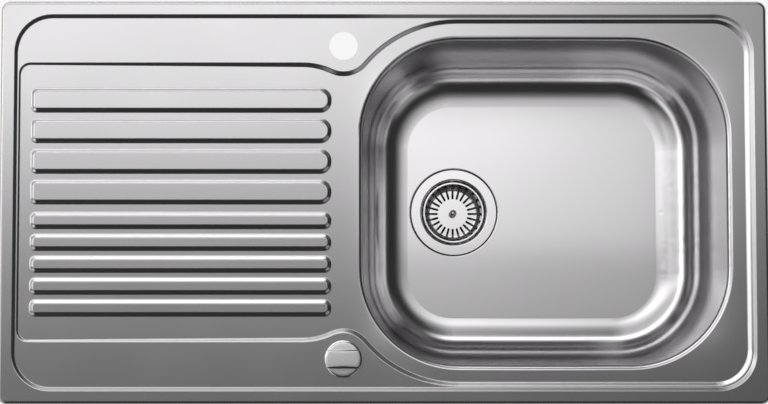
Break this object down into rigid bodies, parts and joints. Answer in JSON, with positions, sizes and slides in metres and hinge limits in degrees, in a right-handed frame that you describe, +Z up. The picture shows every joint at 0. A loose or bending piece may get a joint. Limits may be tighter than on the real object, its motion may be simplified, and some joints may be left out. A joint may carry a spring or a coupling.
{
  "type": "kitchen sink with drainboard",
  "caption": "Inset steel sink: one deep bowl, ribbed drainboard, tap hole, basket strainer waste raised by cable from a turning knob, and rim clamps.",
  "frame": {"origin": "centre of the sink's outline, in the plane of the worktop's top surface, where the underside of the rim seal lies", "axes": "+X along the sink from the drainboard to the bowl, +Y to the back, where the tap stands, +Z up out of the worktop"},
  "size_m": [0.95, 0.5, 0.2672],
  "materials": {
    "pressed_steel": "satin pressed stainless steel",
    "waste_steel": "fine satin stainless steel, turned rings",
    "knob_steel": "light satin metal",
    "zinc_steel": "bright zinc plated steel",
    "foam_rubber": "dull closed-cell foam",
    "black_rubber": "smooth black rubber",
    "white_plastic": "matt moulded polypropylene",
    "grey_plastic": "matt moulded plastic",
    "cable_plastic": "smooth black cable cover",
    "brass": "turned brass",
    "bitumen": "dull damping sheet"
  },
  "bodies": {
    "root": {"body_gasket": "black_rubber", "bowl_pad": "bitumen", "cable_sheath": "cable_plastic", "clamp_hook_1": "zinc_steel", "clamp_hook_2": "zinc_steel", "clamp_hook_3": "zinc_steel", "clamp_hook_4": "zinc_steel", "clamp_hook_5": "zinc_steel", "clamp_hook_6": "zinc_steel", "clamp_hook_7": "zinc_steel", "clamp_hook_8": "zinc_steel", "clamp_rail_back": "zinc_steel", "clamp_rail_front": "zinc_steel", "clamp_rail_left": "zinc_steel", "clamp_rail_right": "zinc_steel", "control_body": "grey_plastic", "control_ferrule": "brass", "control_gasket": "black_rubber", "control_nut": "grey_plastic", "flange_gasket": "black_rubber", "rim_seal": "foam_rubber", "shaft_seal": "black_rubber", "sink_sheet": "pressed_steel", "waste_body": "white_plastic", "waste_ferrule": "brass", "waste_flange": "waste_steel", "waste_screw": "brass"},
    "knob": {"control_knob": "knob_steel", "control_spindle": "brass"},
    "crank": {"lift_crank": "white_plastic", "crank_shaft": "waste_steel", "cable_lever": "zinc_steel", "shaft_clip": "zinc_steel"},
    "pin": {"lift_pin": "white_plastic"},
    "wire": {"cable_wire": "waste_steel"},
    "basket": {"strainer_basket": "waste_steel", "basket_seal": "black_rubber", "basket_knob": "waste_steel"},
    "screw_1": {"clamp_screw_1": "zinc_steel"},
    "claw_1": {"clamp_claw_1": "zinc_steel"},
    "screw_2": {"clamp_screw_2": "zinc_steel"},
    "claw_2": {"clamp_claw_2": "zinc_steel"},
    "screw_3": {"clamp_screw_3": "zinc_steel"},
    "claw_3": {"clamp_claw_3": "zinc_steel"},
    "screw_4": {"clamp_screw_4": "zinc_steel"},
    "claw_4": {"clamp_claw_4": "zinc_steel"},
    "screw_5": {"clamp_screw_5": "zinc_steel"},
    "claw_5": {"clamp_claw_5": "zinc_steel"},
    "screw_6": {"clamp_screw_6": "zinc_steel"},
    "claw_6": {"clamp_claw_6": "zinc_steel"},
    "screw_7": {"clamp_screw_7": "zinc_steel"},
    "claw_7": {"clamp_claw_7": "zinc_steel"},
    "screw_8": {"clamp_screw_8": "zinc_steel"},
    "claw_8": {"clamp_claw_8": "zinc_steel"}
  },
  "joints": [
    {"name": "knob_turn", "type": "hinge", "parent": "root", "child": "knob", "pos_m": [-0.05, -0.1938, 0.0052], "axis": [0, 0, 1], "range_deg": [0, 90]},
    {"name": "crank_turn", "type": "hinge", "parent": "root", "child": "crank", "pos_m": [0.08371, 0, -0.217], "axis": [0, -1, 0], "range_deg": [0, 44.1]},
    {"name": "pin_lift", "type": "slide", "parent": "root", "child": "pin", "axis": [0, 0, 1], "range_m": [0, 0.00901]},
    {"name": "wire_pull", "type": "slide", "parent": "root", "child": "wire", "axis": [-1, 0, 0], "range_m": [0, 0.00901]},
    {"name": "basket_lift_out", "type": "slide", "parent": "pin", "child": "basket", "axis": [0, 0, 1], "range_m": [0, 0.2]},
    {"name": "screw_up_1", "type": "slide", "parent": "root", "child": "screw_1", "axis": [0, 0, 1], "range_m": [0, 0.016]},
    {"name": "claw_swing_1", "type": "hinge", "parent": "screw_1", "child": "claw_1", "pos_m": [-0.34, -0.222, -0.062], "axis": [0, 0, -1], "range_deg": [0, 90]},
    {"name": "screw_up_2", "type": "slide", "parent": "root", "child": "screw_2", "axis": [0, 0, 1], "range_m": [0, 0.016]},
    {"name": "claw_swing_2", "type": "hinge", "parent": "screw_2", "child": "claw_2", "pos_m": [0.04, -0.222, -0.062], "axis": [0, 0, -1], "range_deg": [0, 90]},
    {"name": "screw_up_3", "type": "slide", "parent": "root", "child": "screw_3", "axis": [0, 0, 1], "range_m": [0, 0.016]},
    {"name": "claw_swing_3", "type": "hinge", "parent": "screw_3", "child": "claw_3", "pos_m": [0.35, -0.222, -0.062], "axis": [0, 0, -1], "range_deg": [0, 90]},
    {"name": "screw_up_4", "type": "slide", "parent": "root", "child": "screw_4", "axis": [0, 0, 1], "range_m": [0, 0.016]},
    {"name": "claw_swing_4", "type": "hinge", "parent": "screw_4", "child": "claw_4", "pos_m": [-0.34, 0.222, -0.062], "axis": [0, 0, -1], "range_deg": [0, 90]},
    {"name": "screw_up_5", "type": "slide", "parent": "root", "child": "screw_5", "axis": [0, 0, 1], "range_m": [0, 0.016]},
    {"name": "claw_swing_5", "type": "hinge", "parent": "screw_5", "child": "claw_5", "pos_m": [0.04, 0.222, -0.062], "axis": [0, 0, -1], "range_deg": [0, 90]},
    {"name": "screw_up_6", "type": "slide", "parent": "root", "child": "screw_6", "axis": [0, 0, 1], "range_m": [0, 0.016]},
    {"name": "claw_swing_6", "type": "hinge", "parent": "screw_6", "child": "claw_6", "pos_m": [0.35, 0.222, -0.062], "axis": [0, 0, -1], "range_deg": [0, 90]},
    {"name": "screw_up_7", "type": "slide", "parent": "root", "child": "screw_7", "axis": [0, 0, 1], "range_m": [0, 0.016]},
    {"name": "claw_swing_7", "type": "hinge", "parent": "screw_7", "child": "claw_7", "pos_m": [-0.447, 0, -0.062], "axis": [0, 0, -1], "range_deg": [0, 90]},
    {"name": "screw_up_8", "type": "slide", "parent": "root", "child": "screw_8", "axis": [0, 0, 1], "range_m": [0, 0.016]},
    {"name": "claw_swing_8", "type": "hinge", "parent": "screw_8", "child": "claw_8", "pos_m": [0.447, 0, -0.062], "axis": [0, 0, -1], "range_deg": [0, 90]}
  ],
  "couplings": [
    {"joint": "crank_turn", "follows": "knob_turn", "ratio": 0.48943},
    {"joint": "pin_lift", "follows": "knob_turn", "m_per_rad": 0.0057296},
    {"joint": "wire_pull", "follows": "knob_turn", "m_per_rad": 0.0057296}
  ]
}
